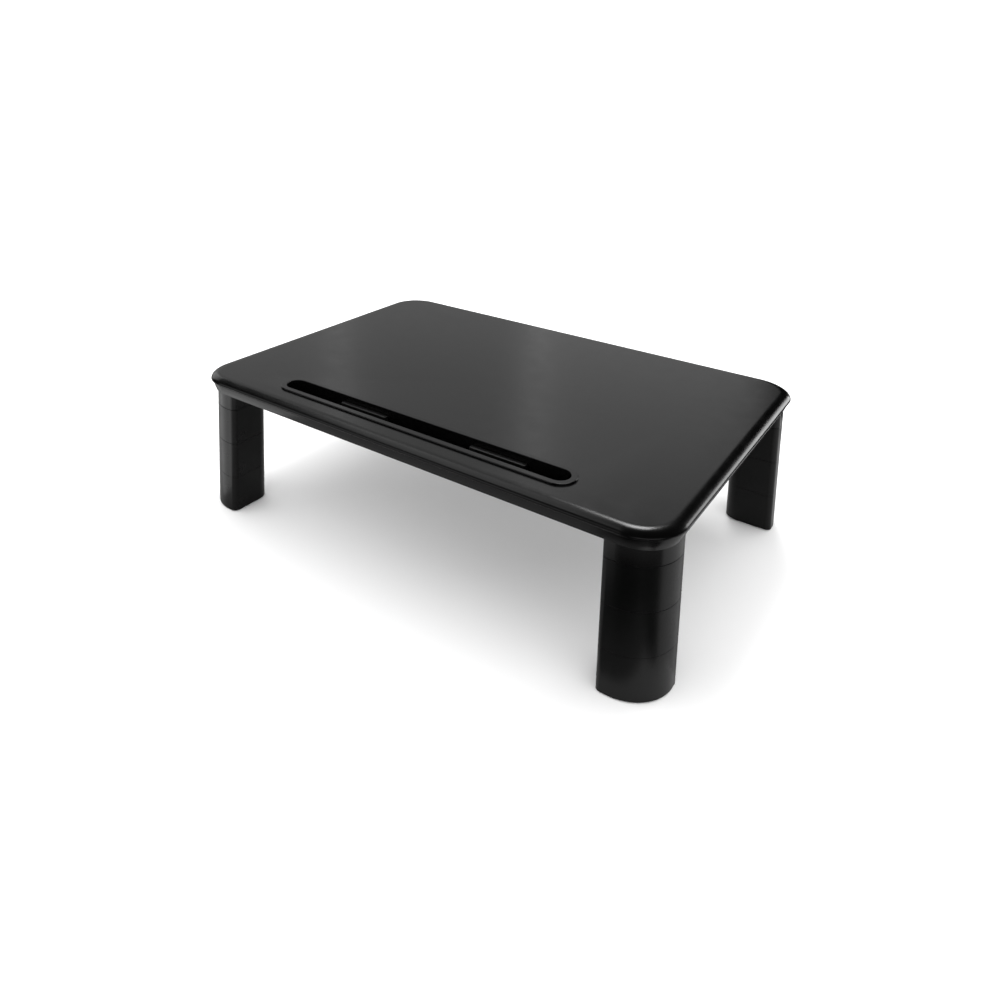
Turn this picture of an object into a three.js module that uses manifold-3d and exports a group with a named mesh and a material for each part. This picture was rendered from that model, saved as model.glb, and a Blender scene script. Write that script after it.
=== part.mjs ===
// Height-adjustable monitor riser: a moulded tabletop with a device slot, carried on four
// corner legs of three stacked segments each. Millimetres, +Z up, +Y to the back.
// Origin: on the resting surface, under the middle of the tabletop.

import * as THREE from 'three';
import { mergeVertices } from 'three/addons/utils/BufferGeometryUtils.js';
import Module from 'manifold-3d';

const wasm = await Module();
wasm.setup();

// Driving dimensions

const TABLE = { width: 420, depth: 300, height: 116, cornerRadius: 31.3 };
const SHEET = 3; // thickness of the tabletop sheet
const WALL = 2.5; // wall of the skirt, the collars and the leg segments
const GAP = 0.3; // clearance between pieces that touch

const NOSE = { inset: 9, height: 4.7 }; // flattened round-over at the top edge
const CREASE = { inset: 2.5, z: 5.7 }; // groove below the nose, z measured down from the top
const SKIRT = { flare: 1.9, top: 6.4, bottom: 13.8 }; // slanted band below the crease

const LEG = { inset: 4.1, side: 39.4, outerRadius: 30.7, edgeRadius: 4.5, innerRadius: 12 };
const SEGMENT = { pitch: 30, perLeg: 3 };
const SPIGOT = { height: 10, wall: 2, lead: 0.8 };
const FOOT = { proud: 0.8, grip: 5 };

const SLOT = { length: 259.5, width: 17.1, y: -117.3, depth: 12, wall: 1.6 };
const RIM = { width: 4.6, height: 1 };
const PAD = { length: 46.5, thickness: 4.3, top: 3.7, centres: { left: -53.3, right: 70.2 } };
const SEAT = { height: 0.6, margin: 0.6 }; // low ledge in the trough under each pad
const HOOK = { length: 14, reach: 1.2, height: 3, positions: [-90, 0, 90] };

// The outermost ribs run on from the inner walls of the collars.
const RIB = { thickness: 2, depth: 8, rows: [-102, 2.8, 107.6], columns: [-167.6, -56, 56, 167.6] };

const underSheet = TABLE.height - SHEET;
const collarBottom = FOOT.proud + SEGMENT.perLeg * SEGMENT.pitch;

// Materials

function plastic(colour, roughness) {
  return new THREE.MeshStandardMaterial({ color: colour, roughness, metalness: 0 });
}

const blackPlastic = plastic(0x1c1c1d, 0.5);
const slotPlastic = plastic(0x1a1a1b, 0.42);
const rubber = plastic(0x131313, 0.9);

// Outlines

function arc(x, y, radius, quarter, steps) {
  const points = [];
  for (let i = 0; i <= steps; i += 1) {
    const angle = (quarter + i / steps) * (Math.PI / 2);
    points.push(new THREE.Vector2(x + radius * Math.cos(angle), y + radius * Math.sin(angle)));
  }
  return points;
}

// Rectangle with a radius for each corner, counter-clockwise from the +X +Y corner.
function roundedBox(halfX, halfY, radii, steps) {
  const signs = [[1, 1], [-1, 1], [-1, -1], [1, -1]];
  return signs.flatMap(([sx, sy], i) => {
    const r = radii[i];
    return arc(sx * (halfX - r), sy * (halfY - r), r, i, steps[i]);
  });
}

function tableOutline(inset) {
  const radius = TABLE.cornerRadius - inset;
  const radii = [radius, radius, radius, radius];
  return roundedBox(TABLE.width / 2 - inset, TABLE.depth / 2 - inset, radii, [9, 9, 9, 9]);
}

// Leg section, large radius at +X +Y, pulled in by an inset.
function legOutline(inset) {
  const half = LEG.side / 2 - inset;
  const { outerRadius, edgeRadius, innerRadius } = LEG;
  const radii = [outerRadius, edgeRadius, innerRadius, edgeRadius];
  return roundedBox(half, half, radii.map((r) => Math.max(r - inset, 0.6)), [9, 3, 4, 3]);
}

function stadium(length, width) {
  const radius = width / 2;
  const x = length / 2 - radius;
  return [...arc(x, 0, radius, -1, 6), ...arc(x, 0, radius, 0, 6),
    ...arc(-x, 0, radius, 1, 6), ...arc(-x, 0, radius, 2, 6)];
}

// Solids

// Closed solid through stacked outlines that all have the same number of points.
function loft(layers) {
  const count = layers[0].points.length;
  const positions = layers.flatMap(({ points, z }) => points.flatMap((p) => [p.x, p.y, z]));
  const index = [];
  for (let k = 0; k < layers.length - 1; k += 1) {
    for (let i = 0; i < count; i += 1) {
      const a = k * count + i;
      const b = k * count + ((i + 1) % count);
      index.push(a, b, b + count, a, b + count, a + count);
    }
  }
  const top = (layers.length - 1) * count;
  for (let i = 1; i < count - 1; i += 1) {
    index.push(0, i + 1, i);
    index.push(top, top + i, top + i + 1);
  }
  const geometry = new THREE.BufferGeometry();
  geometry.setAttribute('position', new THREE.Float32BufferAttribute(positions, 3));
  geometry.setIndex(index);
  return solid(geometry);
}

function prism(points, low, high) {
  return loft([{ points, z: low }, { points, z: high }]);
}

function box(sizeX, sizeY, low, high, x, y) {
  const geometry = new THREE.BoxGeometry(sizeX, sizeY, high - low);
  return solid(geometry.translate(x, y, (low + high) / 2));
}

function solid(geometry) {
  const bare = geometry.clone();
  bare.deleteAttribute('normal');
  bare.deleteAttribute('uv');
  const welded = mergeVertices(bare, 1e-4);
  const mesh = new wasm.Mesh({
    numProp: 3,
    vertProperties: new Float32Array(welded.attributes.position.array),
    triVerts: new Uint32Array(welded.index.array),
  });
  mesh.merge();
  return new wasm.Manifold(mesh);
}

function toGeometry(manifold) {
  const mesh = manifold.getMesh();
  const geometry = new THREE.BufferGeometry();
  geometry.setAttribute('position', new THREE.BufferAttribute(mesh.vertProperties, 3));
  geometry.setIndex(new THREE.BufferAttribute(mesh.triVerts, 1));
  geometry.computeVertexNormals();
  return geometry;
}

// Corners

const legOffset = LEG.inset + LEG.side / 2;
const cornerX = TABLE.width / 2 - legOffset;
const cornerY = TABLE.depth / 2 - legOffset;
const CORNERS = [
  { name: 'back_right', x: cornerX, y: cornerY, turn: 0 },
  { name: 'back_left', x: -cornerX, y: cornerY, turn: 90 },
  { name: 'front_left', x: -cornerX, y: -cornerY, turn: 180 },
  { name: 'front_right', x: cornerX, y: -cornerY, turn: 270 },
];

function atCorner(manifold, corner) {
  return manifold.rotate([0, 0, corner.turn]).translate([corner.x, corner.y, 0]);
}

// Tabletop: sheet, rounded nose, slanted skirt, ribs and four corner collars in one moulding

function tabletopOuter() {
  const layers = [
    { points: tableOutline(LEG.inset), z: TABLE.height - SKIRT.bottom },
    { points: tableOutline(SKIRT.flare), z: TABLE.height - SKIRT.top },
    { points: tableOutline(CREASE.inset), z: TABLE.height - CREASE.z },
    { points: tableOutline(0.4), z: TABLE.height - NOSE.height - 0.5 },
  ];
  const steps = 5;
  for (let i = 0; i <= steps; i += 1) {
    const angle = (i / steps) * (Math.PI / 2);
    const inset = NOSE.inset * (1 - Math.cos(angle));
    layers.push({ points: tableOutline(inset), z: TABLE.height - NOSE.height * (1 - Math.sin(angle)) });
  }
  return loft(layers);
}

function ribs() {
  const low = underSheet - RIB.depth;
  const high = underSheet + SHEET / 2;
  const lengthX = TABLE.width - 2 * (LEG.inset + 1);
  const lengthY = TABLE.depth - 2 * (LEG.inset + 1);
  const rows = RIB.rows.map((y) => box(lengthX, RIB.thickness, low, high, 0, y));
  const columns = RIB.columns.map((x) => box(RIB.thickness, lengthY, low, high, x, 0));
  return [...rows, ...columns];
}

function tabletop() {
  let body = tabletopOuter();
  body = body.subtract(prism(tableOutline(LEG.inset + WALL), 0, underSheet));
  for (const rib of ribs()) {
    body = body.add(rib);
  }
  const collar = prism(legOutline(0), collarBottom, underSheet + SHEET / 2);
  const socket = prism(legOutline(WALL), 0, underSheet);
  for (const corner of CORNERS) {
    body = body.add(atCorner(collar, corner)).subtract(atCorner(socket, corner));
  }
  const wallOut = 2 * SLOT.wall;
  const clear = 2 * GAP;
  const cut = prism(stadium(SLOT.length + wallOut + clear, SLOT.width + wallOut + clear), 0, 200);
  const hookRoom = 2 * (HOOK.reach + SLOT.wall + 2 * GAP);
  const room = prism(stadium(SLOT.length + hookRoom, SLOT.width + hookRoom), 0, underSheet);
  return body.subtract(cut.translate([0, SLOT.y, 0])).subtract(room.translate([0, SLOT.y, 0]));
}

// Slot insert: a trough with a raised flat rim that lies on the sheet, snap hooks below it, and
// a ledge for each pad

function snapHook(side) {
  const top = underSheet - GAP;
  const wallFace = side * (SLOT.width / 2 + SLOT.wall);
  const profile = new THREE.Shape([
    new THREE.Vector2(wallFace - side * 0.8, top),
    new THREE.Vector2(wallFace + side * HOOK.reach, top),
    new THREE.Vector2(wallFace + side * HOOK.reach, top - 0.8),
    new THREE.Vector2(wallFace - side * 0.8, top - HOOK.height),
  ]);
  const geometry = new THREE.ExtrudeGeometry(profile, { depth: HOOK.length, bevelEnabled: false });
  geometry.translate(0, 0, -HOOK.length / 2);
  geometry.rotateX(Math.PI / 2);
  geometry.rotateZ(Math.PI / 2);
  return solid(geometry);
}

function padSeat(x) {
  const floor = TABLE.height - SLOT.depth;
  const back = SLOT.width / 2 + SLOT.wall / 2;
  const front = SLOT.width / 2 - GAP - PAD.thickness - SEAT.margin;
  const length = PAD.length + 2 * SEAT.margin;
  return box(length, back - front, floor - SLOT.wall / 2, floor + SEAT.height, x, (back + front) / 2);
}

function slotInsert() {
  const floor = TABLE.height - SLOT.depth;
  const outline = stadium(SLOT.length + 2 * SLOT.wall, SLOT.width + 2 * SLOT.wall);
  const rimOutline = stadium(SLOT.length + 2 * RIM.width, SLOT.width + 2 * RIM.width);
  const rimSoft = stadium(SLOT.length + 2 * RIM.width - 0.6, SLOT.width + 2 * RIM.width - 0.6);
  const rimLow = TABLE.height + GAP;
  let body = prism(outline, floor - SLOT.wall, rimLow + 0.2);
  body = body.add(loft([
    { points: rimOutline, z: rimLow },
    { points: rimOutline, z: rimLow + RIM.height - 0.3 },
    { points: rimSoft, z: rimLow + RIM.height },
  ]));
  body = body.subtract(prism(stadium(SLOT.length, SLOT.width), floor, 200));
  for (const side of [-1, 1]) {
    for (const x of HOOK.positions) {
      body = body.add(snapHook(side).translate([x, 0, 0]));
    }
  }
  for (const x of Object.values(PAD.centres)) {
    body = body.add(padSeat(x));
  }
  return body.translate([0, SLOT.y, 0]);
}

// Soft pad that stands on its ledge against the trough's back wall
function slotPad(x) {
  const low = TABLE.height - SLOT.depth + SEAT.height + GAP;
  const high = TABLE.height - PAD.top;
  const y = SLOT.y + SLOT.width / 2 - GAP - PAD.thickness / 2;
  const radii = [0.6, 0.6, 1.2, 1.2];
  const outline = roundedBox(PAD.length / 2, PAD.thickness / 2, radii, [2, 2, 2, 2]);
  return prism(outline, low, high).translate([x, y, 0]);
}

// Leg segment: a shell open below, with a hollow spigot on top
function legSegment() {
  const height = SEGMENT.pitch - GAP;
  const spigotTop = height + SPIGOT.height;
  const fit = WALL + GAP;
  const spigot = loft([
    { points: legOutline(fit), z: height - WALL / 2 },
    { points: legOutline(fit), z: spigotTop - SPIGOT.lead },
    { points: legOutline(fit + SPIGOT.lead), z: spigotTop },
  ]);
  return prism(legOutline(0), 0, height)
    .add(spigot)
    .subtract(prism(legOutline(WALL), -1, height - WALL))
    .subtract(prism(legOutline(fit + SPIGOT.wall), 0, spigotTop - SPIGOT.wall));
}

// Rubber foot: a plug in the mouth of the lowest segment
function footPad() {
  const outline = legOutline(WALL + GAP);
  return loft([
    { points: legOutline(WALL + GAP + 0.5), z: 0 },
    { points: outline, z: 0.5 },
    { points: outline, z: FOOT.proud + FOOT.grip },
  ]);
}

// Assembly

const riser = new THREE.Group();

function addPiece(parent, name, manifold, material) {
  const mesh = new THREE.Mesh(toGeometry(manifold), material);
  mesh.name = name;
  parent.add(mesh);
  return mesh;
}

addPiece(riser, 'tabletop', tabletop(), blackPlastic);
addPiece(riser, 'slot_insert', slotInsert(), slotPlastic);
for (const [side, x] of Object.entries(PAD.centres)) {
  addPiece(riser, `slot_pad_${side}`, slotPad(x), rubber);
}

for (const corner of CORNERS) {
  const leg = new THREE.Group();
  leg.position.set(corner.x, corner.y, 0);
  leg.rotation.z = THREE.MathUtils.degToRad(corner.turn);
  ['lower', 'middle', 'upper'].forEach((level, i) => {
    const segment = addPiece(leg, `leg_${level}_${corner.name}`, legSegment(), blackPlastic);
    segment.position.z = FOOT.proud + i * SEGMENT.pitch;
  });
  addPiece(leg, `foot_pad_${corner.name}`, footPad(), rubber);
  riser.add(leg);
}

export default riser;
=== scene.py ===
"""Monitor riser with a device slot and stacked corner legs: pieces, materials, stage and camera."""

import math

import bmesh
import bpy
from mathutils import Matrix, Vector


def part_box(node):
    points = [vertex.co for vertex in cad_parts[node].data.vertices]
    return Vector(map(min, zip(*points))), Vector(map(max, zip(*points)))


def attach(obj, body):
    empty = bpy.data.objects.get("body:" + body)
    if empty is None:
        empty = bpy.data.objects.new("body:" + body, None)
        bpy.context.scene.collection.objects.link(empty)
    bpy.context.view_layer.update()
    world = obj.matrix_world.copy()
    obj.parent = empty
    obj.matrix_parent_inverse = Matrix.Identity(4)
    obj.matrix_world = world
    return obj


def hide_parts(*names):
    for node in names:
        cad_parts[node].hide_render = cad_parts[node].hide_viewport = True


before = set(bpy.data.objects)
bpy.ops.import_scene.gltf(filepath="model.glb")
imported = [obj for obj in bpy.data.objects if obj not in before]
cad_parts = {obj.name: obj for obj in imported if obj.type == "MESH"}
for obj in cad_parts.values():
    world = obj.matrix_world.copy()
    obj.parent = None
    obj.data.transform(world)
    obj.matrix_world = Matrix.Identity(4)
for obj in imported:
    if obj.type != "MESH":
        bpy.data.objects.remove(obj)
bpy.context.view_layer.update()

MM = 0.001

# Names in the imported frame. A corner's number is the turn in degrees that takes the back right
# leg's shape to it.

CORNERS = {"back_right": 0, "back_left": 90, "front_left": 180, "front_right": 270}
LEVELS = ("lower", "middle", "upper")
PAD_SIDES = ("left", "right")

# Sizes of the mouldings, in metres

CORNER_RADIUS = 31.3 * MM
SHEET = 3 * MM
WALL = 2.5 * MM
GAP = 0.3 * MM
OVERLAP = 0.5 * MM

NOSE_INSET = 9 * MM
NOSE_HEIGHT = 4.7 * MM
CREASE_INSET = 2.4 * MM
CREASE_DROP = 5.65 * MM
SKIRT_TOP = 6.4 * MM
SKIRT_BOTTOM = 13.8 * MM
SKIRT_FLARE = 1.9 * MM
SKIRT_BOW = 0.25 * MM
SKIRT_LIP = 0.7 * MM

LEG_INSET = 4.1 * MM
LEG_RADII = (30.7 * MM, 4.5 * MM, 12 * MM, 4.5 * MM)
LEG_LEAST_RADIUS = 0.6 * MM
COLLAR_EDGE = 0.35 * MM
SPIGOT_WALL = 2 * MM
SHOULDER_GAP = 0.08 * MM
SHOULDER_EDGES = {"lower": 0.14 * MM, "middle": 0.14 * MM, "upper": 0.3 * MM}

SLOT_WALL = 1.6 * MM
SLOT_FILLET = 1.2 * MM
RIM_WIDTH = 4.6 * MM
RIM_HEIGHT = 1 * MM
RIM_EDGE = 0.4 * MM
SEAT_HEIGHT = 0.6 * MM
SEAT_MARGIN = 0.6 * MM
PAD_EDGE = 0.6 * MM
PAD_RADII = (0.8 * MM, 0.8 * MM, 1.6 * MM, 1.6 * MM)
HOOK_LENGTH = 14 * MM
HOOK_REACH = 1.2 * MM
HOOK_HEIGHT = 3 * MM
HOOK_PLACES = (-90 * MM, 0, 90 * MM)

RIB_DEPTH = 8 * MM
RIB_THICKNESS = 2 * MM
RIB_ROWS = (-102 * MM, 2.8 * MM, 107.6 * MM)
RIB_COLUMNS = (-167.6 * MM, -56 * MM, 56 * MM, 167.6 * MM)
EJECTOR_RADIUS = 3 * MM
EJECTOR_DEPTH = 0.25 * MM
EJECTOR_COLUMNS = (-140 * MM, -84 * MM, -28 * MM, 28 * MM, 84 * MM, 140 * MM)
EJECTOR_ROWS = (-50 * MM, 55 * MM)

FOOT_MARGIN = 1.4 * MM
FOOT_TREAD = 1 * MM
FOOT_GROOVE = 0.7 * MM
FOOT_SLOPE = 0.2 * MM
FOOT_GROOVE_DEPTH = 0.5 * MM

# Steps in each round stretch

TABLE_STEPS = 24
NOSE_STEPS = 24
LEG_STEPS = 20
SLOT_STEPS = 12
SKIRT_STEPS = 8
EJECTOR_STEPS = 8
PAD_STEPS = 6

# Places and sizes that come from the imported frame

table_low, table_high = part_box("tabletop")
TOP = table_high.z
UNDER = TOP - SHEET
HALF_WIDTH = (table_high.x - table_low.x) / 2
HALF_DEPTH = (table_high.y - table_low.y) / 2
COLLAR_BOTTOM = table_low.z

insert_low, insert_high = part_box("slot_insert")
SLOT_Y = (insert_low.y + insert_high.y) / 2
SLOT_HALF_LENGTH = (insert_high.x - insert_low.x) / 2 - RIM_WIDTH
SLOT_HALF_WIDTH = (insert_high.y - insert_low.y) / 2 - RIM_WIDTH

leg_low, leg_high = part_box("leg_upper_back_right")
LEG_HALF = (leg_high.x - leg_low.x) / 2
LEG_X = (leg_high.x + leg_low.x) / 2
LEG_Y = (leg_high.y + leg_low.y) / 2
SPIGOT_HEIGHT = leg_high.z - COLLAR_BOTTOM + GAP
SEGMENT_HEIGHT = leg_high.z - leg_low.z - SPIGOT_HEIGHT


# Outlines

def arc(x, y, radius, quarter, steps):
    """Quarter circle about (x, y), counter-clockwise from the quarter turn named."""
    points = []
    for i in range(steps + 1):
        angle = (quarter + i / steps) * math.pi / 2
        points.append((x + radius * math.cos(angle), y + radius * math.sin(angle)))
    return points


def rounded_box(half_x, half_y, radii, steps):
    """Counter-clockwise outline from the +X +Y corner, with a radius for each corner."""
    signs = ((1, 1), (-1, 1), (-1, -1), (1, -1))
    points = []
    for quarter, (sign, radius) in enumerate(zip(signs, radii)):
        x = sign[0] * (half_x - radius)
        y = sign[1] * (half_y - radius)
        points += arc(x, y, radius, quarter, steps)
    return points


def table_outline(inset):
    radii = (CORNER_RADIUS - inset,) * 4
    return rounded_box(HALF_WIDTH - inset, HALF_DEPTH - inset, radii, TABLE_STEPS)


def leg_outline(inset):
    half = LEG_HALF - inset
    radii = [max(radius - inset, LEG_LEAST_RADIUS) for radius in LEG_RADII]
    return rounded_box(half, half, radii, LEG_STEPS)


def slot_outline(inset):
    """Outline of the slot with half circles for ends, set in, or out where the inset is negative."""
    radius = SLOT_HALF_WIDTH - inset
    x = SLOT_HALF_LENGTH - inset - radius
    points = []
    for quarter, side in ((-1, 1), (0, 1), (1, -1), (2, -1)):
        points += arc(side * x, 0, radius, quarter, SLOT_STEPS)
    return points


# Meshes

def loft(rings, close=False):
    """Mesh through rings of equal length, each (outline, z), capped unless it closes on itself."""
    mesh = bmesh.new()
    rows = [[mesh.verts.new((x, y, z)) for x, y in outline] for outline, z in rings]
    pairs = list(zip(rows, rows[1:]))
    if close:
        pairs.append((rows[-1], rows[0]))
    for low, high in pairs:
        join_rows(mesh, low, high)
    if not close:
        mesh.faces.new(list(reversed(rows[0])))
        mesh.faces.new(rows[-1])
    bmesh.ops.recalc_face_normals(mesh, faces=mesh.faces)
    return mesh


def join_rows(mesh, low, high):
    """Band of quads between two closed rows of vertices."""
    for i in range(len(low)):
        j = (i + 1) % len(low)
        mesh.faces.new((low[i], low[j], high[j], high[i]))


def lip(inset, z, radius, turn_from, turn_to, outline, steps=4):
    """Rings round a rounded edge whose centre line lies at an inset and a height."""
    rings = []
    for i in range(steps + 1):
        angle = math.radians(turn_from + (turn_to - turn_from) * i / steps)
        rings.append((outline(inset - radius * math.cos(angle)), z + radius * math.sin(angle)))
    return rings


def block(size, centre):
    mesh = bmesh.new()
    bmesh.ops.create_cube(mesh, size=1)
    bmesh.ops.scale(mesh, vec=size, verts=mesh.verts)
    bmesh.ops.translate(mesh, vec=centre, verts=mesh.verts)
    return mesh


def at_corner(mesh, name):
    """Turns and moves a mesh made for the back right corner to the corner named."""
    turn = CORNERS[name]
    x = LEG_X if name.endswith("right") else -LEG_X
    y = LEG_Y if name.startswith("back") else -LEG_Y
    place = Matrix.Translation((x, y, 0)) @ Matrix.Rotation(math.radians(turn), 4, "Z")
    bmesh.ops.transform(mesh, matrix=place, verts=mesh.verts)
    return mesh


# Objects

def make_object(name, mesh):
    data = bpy.data.meshes.new(name)
    mesh.to_mesh(data)
    mesh.free()
    piece = bpy.data.objects.new(name, data)
    bpy.context.scene.collection.objects.link(piece)
    return piece


def combine(piece, mesh, operation):
    """Boolean of a piece with a second mesh, applied at once."""
    other = make_object("tool", mesh)
    modifier = piece.modifiers.new("combine", "BOOLEAN")
    modifier.operation = operation
    modifier.solver = "EXACT"
    modifier.object = other
    bpy.context.view_layer.update()
    graph = bpy.context.evaluated_depsgraph_get()
    data = bpy.data.meshes.new_from_object(piece.evaluated_get(graph))
    piece.modifiers.remove(modifier)
    old = piece.data
    piece.data = data
    data.name = old.name
    bpy.data.meshes.remove(old)
    bpy.data.objects.remove(other)


def append(piece, mesh):
    """Adds a closed mesh to a piece and leaves both closed meshes as they are."""
    extra = bpy.data.meshes.new("extra")
    mesh.to_mesh(extra)
    mesh.free()
    whole = bmesh.new()
    whole.from_mesh(piece.data)
    whole.from_mesh(extra)
    whole.to_mesh(piece.data)
    whole.free()
    bpy.data.meshes.remove(extra)


def finish_piece(piece, material, body, nodes):
    """Smooth shading with sharp edges kept, a material, and its place in the frame."""
    for polygon in piece.data.polygons:
        polygon.use_smooth = True
    piece.data.set_sharp_from_angle(angle=math.radians(40))
    piece.data.materials.clear()
    piece.data.materials.append(material)
    weighted = piece.modifiers.new("flat_normals", "WEIGHTED_NORMAL")
    weighted.keep_sharp = True
    weighted.weight = 80
    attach(piece, body)
    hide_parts(*nodes)


# Tabletop

def inner_rings():
    """Underside of the sheet and inner wall of the skirt, from the middle out and then down."""
    inner = LEG_INSET + WALL
    low = TOP - SKIRT_BOTTOM
    return [
        (table_outline(inner + 4 * MM), UNDER),
        (table_outline(inner + 0.8 * MM), UNDER),
        (table_outline(inner + 0.2 * MM), UNDER - 0.2 * MM),
        (table_outline(inner), UNDER - 0.8 * MM),
        (table_outline(inner), low + SKIRT_LIP),
        (table_outline(inner - 0.3 * MM), low + 0.2 * MM),
        (table_outline(inner - 0.8 * MM), low),
    ]


def skirt_rings():
    """Lower lip and outer face of the skirt, which slants and bows outward a little."""
    low = TOP - SKIRT_BOTTOM + SKIRT_LIP
    high = TOP - SKIRT_TOP
    rings = lip(LEG_INSET + SKIRT_LIP, low, SKIRT_LIP, -90, -8, table_outline)
    for i in range(1, SKIRT_STEPS + 1):
        t = i / SKIRT_STEPS
        slant = (LEG_INSET - SKIRT_FLARE) * t
        bow = SKIRT_BOW * math.sin(math.pi * t)
        rings.append((table_outline(LEG_INSET - slant - bow), low + (high - low) * t))
    return rings


def crease_rings():
    """Round-bottomed crease between the skirt's top edge and the nose's lower edge."""
    skirt = TOP - SKIRT_TOP
    bottom = TOP - CREASE_DROP
    nose = TOP - NOSE_HEIGHT
    return [
        (table_outline(SKIRT_FLARE + 0.08 * MM), skirt + 0.15 * MM),
        (table_outline(SKIRT_FLARE + 0.35 * MM), skirt + 0.3 * MM),
        (table_outline(CREASE_INSET - 0.2 * MM), bottom - 0.3 * MM),
        (table_outline(CREASE_INSET), bottom - 0.05 * MM),
        (table_outline(CREASE_INSET - 0.15 * MM), bottom + 0.2 * MM),
        (table_outline(CREASE_INSET - 0.6 * MM), nose - 0.72 * MM),
        (table_outline(1.1 * MM), nose - 0.66 * MM),
        (table_outline(0.6 * MM), nose - 0.54 * MM),
        (table_outline(0.25 * MM), nose - 0.36 * MM),
        (table_outline(0.05 * MM), nose - 0.16 * MM),
    ]


def nose_rings():
    """Round-over, a quarter of a flattened ellipse, and the flat top inside it."""
    rings = []
    for i in range(NOSE_STEPS + 1):
        angle = i / NOSE_STEPS * math.pi / 2
        inset = NOSE_INSET * (1 - math.cos(angle))
        rings.append((table_outline(inset), TOP - NOSE_HEIGHT * (1 - math.sin(angle))))
    rings.append((table_outline(NOSE_INSET + 1.2 * MM), TOP))
    rings.append((table_outline(NOSE_INSET + 5 * MM), TOP))
    return rings


def collar_rings():
    """Tube of one corner collar, from the sheet down the outside and back up the inside."""
    top = UNDER + OVERLAP
    low = COLLAR_BOTTOM + COLLAR_EDGE
    # The outer face starts a hair further in, so that it isn't in one plane with the skirt's.
    rings = [(leg_outline(0.02 * MM), top)]
    rings += lip(COLLAR_EDGE, low, COLLAR_EDGE, 0, -90, leg_outline)
    rings += [
        (leg_outline(WALL - COLLAR_EDGE), COLLAR_BOTTOM),
        (leg_outline(WALL - 0.3 * COLLAR_EDGE), COLLAR_BOTTOM + 0.3 * COLLAR_EDGE),
        (leg_outline(WALL), low),
        (leg_outline(WALL), top),
    ]
    return rings


def add_ribs(piece):
    """Crossed stiffening ribs that run into the sheet and the skirt's inner wall."""
    height = RIB_DEPTH + OVERLAP
    middle = UNDER + OVERLAP - height / 2
    length = 2 * (HALF_WIDTH - LEG_INSET - WALL + OVERLAP)
    for y in RIB_ROWS:
        combine(piece, block((length, RIB_THICKNESS, height), (0, y, middle)), "UNION")
    length = 2 * (HALF_DEPTH - LEG_INSET - WALL + OVERLAP)
    for x in RIB_COLUMNS:
        combine(piece, block((RIB_THICKNESS, length, height), (x, 0, middle)), "UNION")


def cut_slot(piece):
    """Hole in the sheet for the insert, and a wider one through the ribs for its hooks."""
    for margin, top in ((GAP, TOP + 1 * MM), (HOOK_REACH + 1 * MM, UNDER)):
        outline = slot_outline(-SLOT_WALL - margin)
        tool = loft([(outline, COLLAR_BOTTOM), (outline, top)])
        bmesh.ops.translate(tool, vec=(0, SLOT_Y, 0), verts=tool.verts)
        combine(piece, tool, "DIFFERENCE")


def ejector_marks():
    """Shallow round marks that the mould's ejector pins leave under the sheet."""
    mesh = bmesh.new()
    for x in EJECTOR_COLUMNS:
        for y in EJECTOR_ROWS:
            outline = []
            for quarter in range(4):
                outline += arc(x, y, EJECTOR_RADIUS, quarter, EJECTOR_STEPS)
            low = [mesh.verts.new((*point, UNDER - 1 * MM)) for point in outline]
            high = [mesh.verts.new((*point, UNDER + EJECTOR_DEPTH)) for point in outline]
            mesh.faces.new(list(reversed(low)))
            mesh.faces.new(high)
            join_rows(mesh, low, high)
    bmesh.ops.remove_doubles(mesh, verts=mesh.verts, dist=0.001 * MM)
    return mesh


def build_tabletop(material):
    rings = inner_rings() + skirt_rings() + crease_rings() + nose_rings()
    piece = make_object("tabletop_moulding", loft(rings))
    add_ribs(piece)
    cut_slot(piece)
    combine(piece, ejector_marks(), "DIFFERENCE")
    for name in CORNERS:
        append(piece, at_corner(loft(collar_rings(), close=True), name))
    finish_piece(piece, material, "table", ["tabletop"])


# Slot insert and its pads

def trough_rings():
    """Trough floor, fillet, inner wall, flat rim, and the outside back down to the bottom."""
    floor = insert_low.z + SLOT_WALL
    rim_low = insert_high.z - RIM_HEIGHT
    edge_z = insert_high.z - RIM_EDGE
    rings = [(slot_outline(4 * MM), floor)]
    rings += lip(SLOT_FILLET, floor + SLOT_FILLET, SLOT_FILLET, -90, 0, slot_outline)
    rings += lip(-RIM_EDGE, edge_z, RIM_EDGE, 180, 90, slot_outline)
    rings.append((slot_outline(-2 * RIM_EDGE), insert_high.z))
    rings.append((slot_outline(2 * RIM_EDGE - RIM_WIDTH), insert_high.z))
    rings += lip(RIM_EDGE - RIM_WIDTH, edge_z, RIM_EDGE, 90, 0, slot_outline)
    rings += [
        (slot_outline(-RIM_WIDTH), rim_low + 0.1 * MM),
        (slot_outline(0.1 * MM - RIM_WIDTH), rim_low),
        (slot_outline(-SLOT_WALL - 0.3 * MM), rim_low),
        (slot_outline(-SLOT_WALL), rim_low - 0.3 * MM),
        (slot_outline(-SLOT_WALL), insert_low.z + 1 * MM),
        (slot_outline(0.3 * MM - SLOT_WALL), insert_low.z + 0.3 * MM),
        (slot_outline(1 * MM - SLOT_WALL), insert_low.z),
        (slot_outline(4 * MM), insert_low.z),
    ]
    return rings


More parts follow.
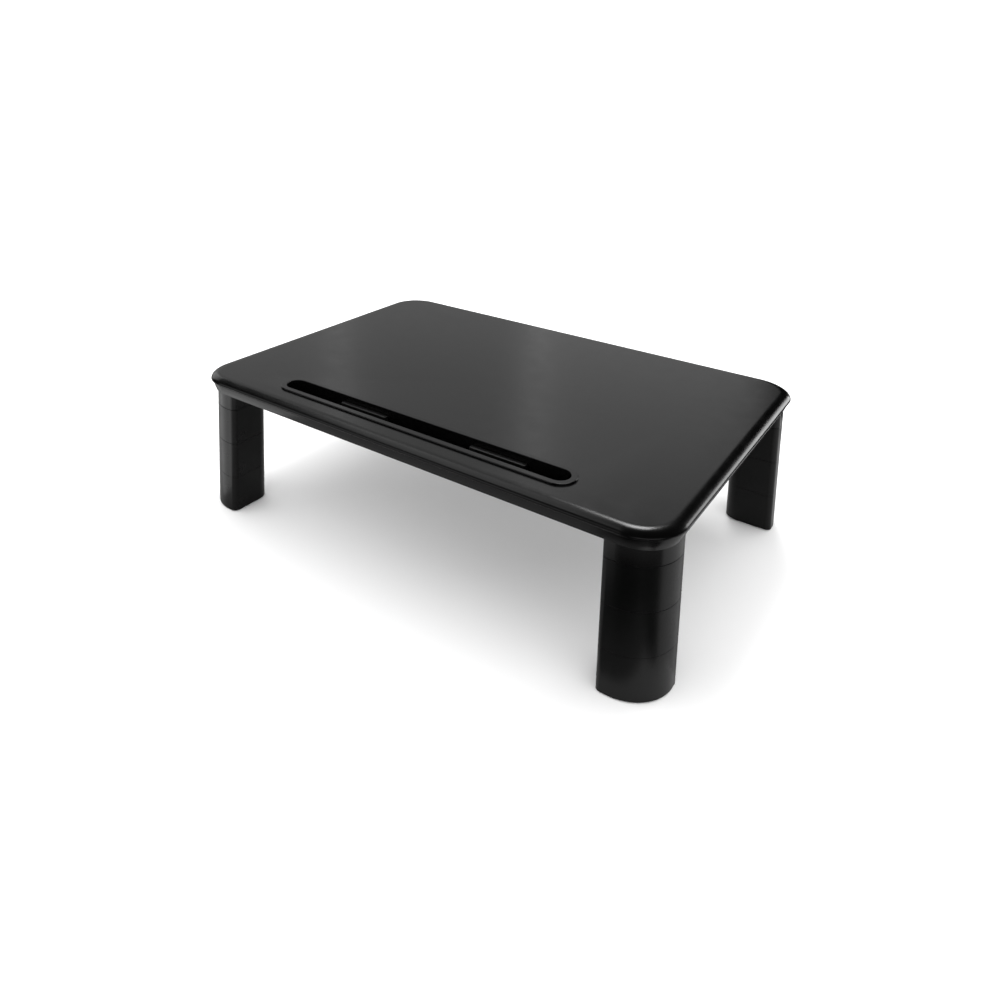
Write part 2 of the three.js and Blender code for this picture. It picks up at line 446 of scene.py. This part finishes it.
def snap_hook(side, x):
    """Wedge on the trough's long wall that snaps under the sheet."""
    wall = SLOT_HALF_WIDTH + SLOT_WALL
    top = UNDER - GAP
    profile = (
        (wall - OVERLAP, top),
        (wall + HOOK_REACH - 0.15 * MM, top),
        (wall + HOOK_REACH, top - 0.15 * MM),
        (wall + HOOK_REACH, top - 0.8 * MM),
        (wall - OVERLAP, top - HOOK_HEIGHT),
    )
    mesh = bmesh.new()
    ends = []
    for end in (-1, 1):
        end_x = x + end * HOOK_LENGTH / 2
        ends.append([mesh.verts.new((end_x, side * y, z)) for y, z in profile])
    left, right = ends
    mesh.faces.new(left)
    mesh.faces.new(right)
    join_rows(mesh, left, right)
    bmesh.ops.recalc_face_normals(mesh, faces=mesh.faces)
    return mesh


def pad_seat(side):
    """Low ledge in the trough that carries one pad."""
    low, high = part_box(f"slot_pad_{side}")
    floor = insert_low.z + SLOT_WALL
    sunk = SLOT_WALL / 2
    front = low.y - SLOT_Y - SEAT_MARGIN
    back = SLOT_HALF_WIDTH + sunk
    size = (high.x - low.x + 2 * SEAT_MARGIN, back - front, SEAT_HEIGHT + sunk)
    centre = ((low.x + high.x) / 2, (front + back) / 2, floor + (SEAT_HEIGHT - sunk) / 2)
    return block(size, centre)


def build_insert(material):
    piece = make_object("slot_insert_moulding", loft(trough_rings()))
    for side in (-1, 1):
        for x in HOOK_PLACES:
            combine(piece, snap_hook(side, x), "UNION")
    for side in PAD_SIDES:
        combine(piece, pad_seat(side), "UNION")
    piece.location.y = SLOT_Y
    finish_piece(piece, material, "table", ["slot_insert"])


def build_slot_pad(side, material):
    """Soft pad with round ends and a rounded top edge."""
    low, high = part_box(f"slot_pad_{side}")
    half_x = (high.x - low.x) / 2
    half_y = (high.y - low.y) / 2

    def pad_outline(inset):
        radii = [radius - inset for radius in PAD_RADII]
        return rounded_box(half_x - inset, half_y - inset, radii, PAD_STEPS)

    rings = [(pad_outline(0.2 * MM), low.z), (pad_outline(0), low.z + 0.2 * MM)]
    rings += lip(PAD_EDGE, high.z - PAD_EDGE, PAD_EDGE, 0, 90, pad_outline, steps=5)
    mesh = loft(rings)
    centre = ((low.x + high.x) / 2, (low.y + high.y) / 2, 0)
    bmesh.ops.translate(mesh, vec=centre, verts=mesh.verts)
    piece = make_object(f"slot_pad_{side}_rubber", mesh)
    finish_piece(piece, material, "table", [f"slot_pad_{side}"])


# Legs

def segment_rings(edge):
    """One leg segment with its foot at z = 0: hollow inside, foot, shell, shoulder and spigot."""
    shoulder = SEGMENT_HEIGHT + GAP - SHOULDER_GAP
    spigot = WALL + GAP
    bore = spigot + SPIGOT_WALL
    spigot_top = SEGMENT_HEIGHT + SPIGOT_HEIGHT
    rings = [
        (leg_outline(bore + 3 * MM), spigot_top - SPIGOT_WALL),
        (leg_outline(bore), spigot_top - SPIGOT_WALL),
        (leg_outline(bore), shoulder - WALL),
        (leg_outline(WALL), shoulder - WALL),
        (leg_outline(WALL), edge),
        (leg_outline(WALL - 0.3 * edge), 0.3 * edge),
        (leg_outline(WALL - edge), 0),
    ]
    rings += lip(edge, edge, edge, -90, 0, leg_outline)
    rings += lip(edge, shoulder - edge, edge, 0, 90, leg_outline)
    rings += [
        (leg_outline(spigot + 0.3 * MM), shoulder),
        (leg_outline(spigot), shoulder + 0.3 * MM),
        (leg_outline(spigot), spigot_top - 1 * MM),
        (leg_outline(spigot + 0.3 * MM), spigot_top - 0.4 * MM),
        (leg_outline(spigot + 1 * MM), spigot_top),
        (leg_outline(spigot + 4 * MM), spigot_top),
    ]
    return rings


def build_segments(material):
    for name in CORNERS:
        for level in LEVELS:
            node = f"leg_{level}_{name}"
            low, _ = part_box(node)
            mesh = at_corner(loft(segment_rings(SHOULDER_EDGES[level])), name)
            piece = make_object(f"{node}_moulding", mesh)
            piece.location.z = low.z
            body = "base" if level == "lower" else f"{level}_{name}"
            finish_piece(piece, material, body, [node])


def foot_pad_rings(top):
    """Underside with a recess and two grooves, from the middle out, then the side and the top."""
    rim = WALL + GAP
    pitch = FOOT_TREAD + FOOT_GROOVE
    outer_tread = rim + FOOT_MARGIN
    inner_tread = outer_tread + 2 * pitch
    rings = [
        (leg_outline(inner_tread + 2 * FOOT_SLOPE), FOOT_GROOVE_DEPTH),
        (leg_outline(inner_tread + FOOT_SLOPE), FOOT_GROOVE_DEPTH),
    ]
    for inset in (inner_tread, inner_tread - pitch):
        rings += [
            (leg_outline(inset), 0),
            (leg_outline(inset - FOOT_TREAD), 0),
            (leg_outline(inset - FOOT_TREAD - FOOT_SLOPE), FOOT_GROOVE_DEPTH),
            (leg_outline(inset - pitch + FOOT_SLOPE), FOOT_GROOVE_DEPTH),
        ]
    rings += [
        (leg_outline(outer_tread), 0),
        (leg_outline(rim + 0.5 * MM), 0),
        (leg_outline(rim + 0.1 * MM), 0.2 * MM),
        (leg_outline(rim), 0.6 * MM),
        (leg_outline(rim), top - 0.3 * MM),
        (leg_outline(rim + 0.3 * MM), top),
        (leg_outline(rim + 4 * MM), top),
    ]
    return rings


def build_foot_pads(material):
    for name in CORNERS:
        node = f"foot_pad_{name}"
        _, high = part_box(node)
        mesh = at_corner(loft(foot_pad_rings(high.z)), name)
        piece = make_object(f"{node}_rubber", mesh)
        finish_piece(piece, material, "base", [node])


# Materials

class Shader:
    """Node tree of one material, with the few kinds of node that the materials here are made of."""

    def __init__(self, name, specular):
        self.material = bpy.data.materials.new(name)
        self.material.use_nodes = True
        self.nodes = self.material.node_tree.nodes
        self.links = self.material.node_tree.links
        self.bsdf = self.nodes["Principled BSDF"]
        self.bsdf.inputs["Specular IOR Level"].default_value = specular

    def node(self, kind, **values):
        """New node with some of its inputs set. An underscore stands for a space."""
        node = self.nodes.new(kind)
        for key, value in values.items():
            node.inputs[key.replace("_", " ")].default_value = value
        return node

    def noise(self, scale, detail, roughness=0.5):
        """Noise in the object's own coordinates."""
        coordinates = self.node("ShaderNodeTexCoord").outputs["Object"]
        node = self.node("ShaderNodeTexNoise", Scale=scale, Detail=detail, Roughness=roughness)
        self.links.new(coordinates, node.inputs["Vector"])
        return node.outputs["Fac"]

    def spread(self, value, value_low, value_high, low, high):
        """Maps value_low..value_high to low..high, and holds the ends beyond."""
        limits = {"From_Min": value_low, "From_Max": value_high, "To_Min": low, "To_Max": high}
        node = self.node("ShaderNodeMapRange", **limits)
        self.links.new(value, node.inputs["Value"])
        return node.outputs["Result"]

    def vary(self, scale, detail, low, high):
        """Noise spread over the range low..high. Most of its values lie between 0.3 and 0.7."""
        return self.spread(self.noise(scale, detail), 0.3, 0.7, low, high)

    def add(self, first, second, weight):
        """first + weight * second"""
        node = self.node("ShaderNodeMath")
        node.operation = "MULTIPLY_ADD"
        self.links.new(second, node.inputs[0])
        node.inputs[1].default_value = weight
        self.links.new(first, node.inputs[2])
        return node.outputs["Value"]

    def convex_edge_polish_and_highlight(self):
        """0 on flat faces, up to 1 on convex edges: there it makes the surface glossier, as handling
        polishes the grain away, and it paints a highlight line into the colour along the edges and
        seams.
        """
        pointiness = self.node("ShaderNodeNewGeometry").outputs["Pointiness"]
        return self.spread(pointiness, 0.54, 0.62, 0, 1)

    def colour(self, shade, tone):
        """Grey base colour, scaled by a tone that varies over the surface."""
        mix = self.node("ShaderNodeMix")
        mix.data_type = "RGBA"
        mix.blend_type = "MULTIPLY"
        mix.inputs["Factor"].default_value = 1
        mix.inputs["A"].default_value = (shade, shade, shade, 1)
        self.links.new(tone, mix.inputs["B"])
        self.links.new(mix.outputs["Result"], self.bsdf.inputs["Base Color"])

    def roughness(self, value):
        self.links.new(value, self.bsdf.inputs["Roughness"])

    def bump(self, height, strength):
        node = self.node("ShaderNodeBump", Strength=strength, Distance=0.05 * MM)
        self.links.new(height, node.inputs["Height"])
        self.links.new(node.outputs["Normal"], self.bsdf.inputs["Normal"])


def moulded_plastic(name, shade, roughness, grain, specular):
    """Moulded plastic: fine spark-eroded grain, slow changes of tone and gloss, polished edges with
    a painted highlight along them.
    """
    shader = Shader(name, specular)
    polish_and_highlight = shader.convex_edge_polish_and_highlight()
    tone = shader.vary(scale=22, detail=3, low=0.85, high=1.15)
    # Painted highlight: convex edges and seam lips get up to about nine times the base shade.
    shader.colour(shade, shader.add(tone, polish_and_highlight, weight=8))
    gloss = shader.vary(scale=60, detail=4, low=roughness - 0.03, high=roughness + 0.03)
    shader.roughness(shader.add(gloss, polish_and_highlight, weight=-0.08))
    coarse = shader.noise(scale=1100, detail=2, roughness=0.6)
    fine = shader.noise(scale=2600, detail=1)
    shader.bump(shader.add(coarse, fine, weight=0.25), grain)
    return shader.material


def soft_rubber(name, shade, roughness):
    """Smooth rubber with faint clouds of tone and a pebbled surface."""
    shader = Shader(name, specular=0.6)
    shader.colour(shade, shader.vary(scale=90, detail=4, low=0.8, high=1.25))
    shader.roughness(shader.vary(scale=200, detail=3, low=roughness, high=roughness + 0.1))
    shader.bump(shader.noise(scale=900, detail=3), strength=0.4)
    return shader.material


def matt_paper(name, shade):
    """Plain matt grey without any gloss, for the floor and the cards."""
    shader = Shader(name, specular=0.0)
    shader.bsdf.inputs["Base Color"].default_value = (shade, shade, shade, 1)
    shader.bsdf.inputs["Roughness"].default_value = 0.9
    return shader.material


# Stage

def build_floor():
    mesh = bmesh.new()
    bmesh.ops.create_circle(mesh, cap_ends=True, radius=40, segments=96)
    floor = make_object("studio_floor", mesh)
    floor.data.materials.append(matt_paper("pale_floor", 0.9))
    floor.location.z = -0.05 * MM
    floor.visible_glossy = False


def card(name, low, high, tone):
    """Level card just above the floor, between two corners. It only shows in reflections, and its
    tone is a painted reflection of the floor's light and shade there.
    """
    mesh = bmesh.new()
    corners = ((low[0], low[1]), (high[0], low[1]), (high[0], high[1]), (low[0], high[1]))
    mesh.faces.new([mesh.verts.new((x, y, 0)) for x, y in corners])
    piece = make_object(name, mesh)
    piece.location.z = 0.1 * MM
    piece.data.materials.append(matt_paper(f"{name}_paper", tone))
    piece.visible_camera = False
    piece.visible_diffuse = False
    piece.visible_shadow = False


def build_cards():
    """Cards on the floor whose tones paint the floor's reflected light and shade: pale at the left
    and by the near foot, painted shade under the riser and in front of it, dark in front of the
    right end.
    """
    # Painted reflection: each tone stands for the floor's brightness as the legs and edges mirror
    # it, darker where the riser shades it.
    card("card_front_left", (-0.9, -0.9), (-0.2, -0.15), 0.72)
    card("card_front", (-0.2, -0.6), (0.12, -0.1), 0.32)
    card("card_foot", (0.12, -0.162), (0.235, -0.1), 0.62)
    card("card_near_foot", (0.12, -0.21), (0.26, -0.162), 0.14)
    card("card_front_right", (0.26, -0.9), (0.6, -0.13), 0.03)
    card("card_right", (0.235, -0.13), (1.2, 0.35), 0.4)
    card("card_under", (-0.2, -0.1), (0.235, 0.3), 0.45)
    card("card_back_left", (-1.5, -0.15), (-0.2, 1.0), 0.3)
    card("card_back", (-0.2, 0.3), (0.2, 2.0), 0.25)


def softbox(name, azimuth, elevation, distance, size, radiance):
    """Area light that faces the riser, placed by degrees from the back (+Y) towards +X and up."""
    turn, lift = math.radians(azimuth), math.radians(elevation)
    level = math.cos(lift)
    direction = Vector((math.sin(turn) * level, math.cos(turn) * level, math.sin(lift)))
    data = bpy.data.lights.new(name, "AREA")
    data.shape = "RECTANGLE"
    data.size, data.size_y = size
    data.energy = radiance * math.pi * data.size * data.size_y
    light = bpy.data.objects.new(name, data)
    bpy.context.scene.collection.objects.link(light)
    light.location = direction * distance
    light.rotation_mode = "QUATERNION"
    light.rotation_quaternion = direction.to_track_quat("Z", "Y")
    light.visible_camera = False


def build_lights():
    """Softboxes behind the riser, which its top mirrors, and round its sides for the legs."""
    softbox("wall_far_left", -80, 20, 2.6, (1.1, 1.4), 1.25)
    softbox("wall_left", -57, 20, 2.6, (1.0, 1.4), 0.55)
    softbox("wall_middle", -37, 20, 2.6, (0.82, 1.4), 0.5)
    softbox("wall_right", -18.5, 20, 2.6, (0.87, 1.4), 0.65)
    softbox("wall_top", -45, 44, 2.6, (1.6, 0.8), 0.6)
    softbox("overhead_left", -95, 62, 2.6, (2.4, 1.1), 1.4)
    softbox("corner_light", -17, 57, 2.4, (0.5, 0.6), 18)
    softbox("front_left", -145, 22, 2.6, (1.7, 1.3), 0.8)
    softbox("back_right", 27, 12, 2.6, (1.3, 0.9), 5)
    softbox("front_right_low", 135, 12, 3, (3.4, 0.9), 0.8)


def build_world():
    """White surroundings that light the floor. Reflections show the softboxes instead."""
    world = bpy.data.worlds.new("studio")
    bpy.context.scene.world = world
    world.use_nodes = True
    background = world.node_tree.nodes["Background"]
    background.inputs["Color"].default_value = (1, 1, 1, 1)
    background.inputs["Strength"].default_value = 1.45
    world.cycles_visibility.glossy = False


def build_camera():
    """Camera at the photograph's viewing angle, found by fitting the riser's outline to it.

    The shift is only as large as the views from other sides allow.
    """
    data = bpy.data.cameras.new("camera")
    data.sensor_width = 36
    data.lens = 30.383
    data.shift_x = 0.053
    data.shift_y = -0.317
    camera = bpy.data.objects.new("camera", data)
    bpy.context.scene.collection.objects.link(camera)
    turn = Matrix.Rotation(math.radians(35.424), 4, "Z")
    tilt = Matrix.Rotation(math.radians(90 - 8.802), 4, "X")
    roll = Matrix.Rotation(math.radians(1.377), 4, "Z")
    place = Matrix.Translation((0.35972, -0.58744, 0.39049))
    camera.matrix_world = place @ turn @ tilt @ roll
    bpy.context.scene.camera = camera


def build_riser():
    build_tabletop(moulded_plastic("table_plastic", 0.0012, roughness=0.22, grain=0.3, specular=0.3))
    build_insert(moulded_plastic("insert_plastic", 0.0012, roughness=0.22, grain=0.2, specular=0.3))
    pad_rubber = soft_rubber("pad_rubber", 0.003, roughness=0.35)
    for side in PAD_SIDES:
        build_slot_pad(side, pad_rubber)
    build_segments(moulded_plastic("leg_plastic", 0.0012, roughness=0.3, grain=0.25, specular=0.3))
    build_foot_pads(soft_rubber("foot_rubber", 0.006, roughness=0.7))


build_camera()
build_riser()
build_floor()
build_cards()
build_world()
build_lights()
bpy.context.scene.view_settings.view_transform = "Standard"
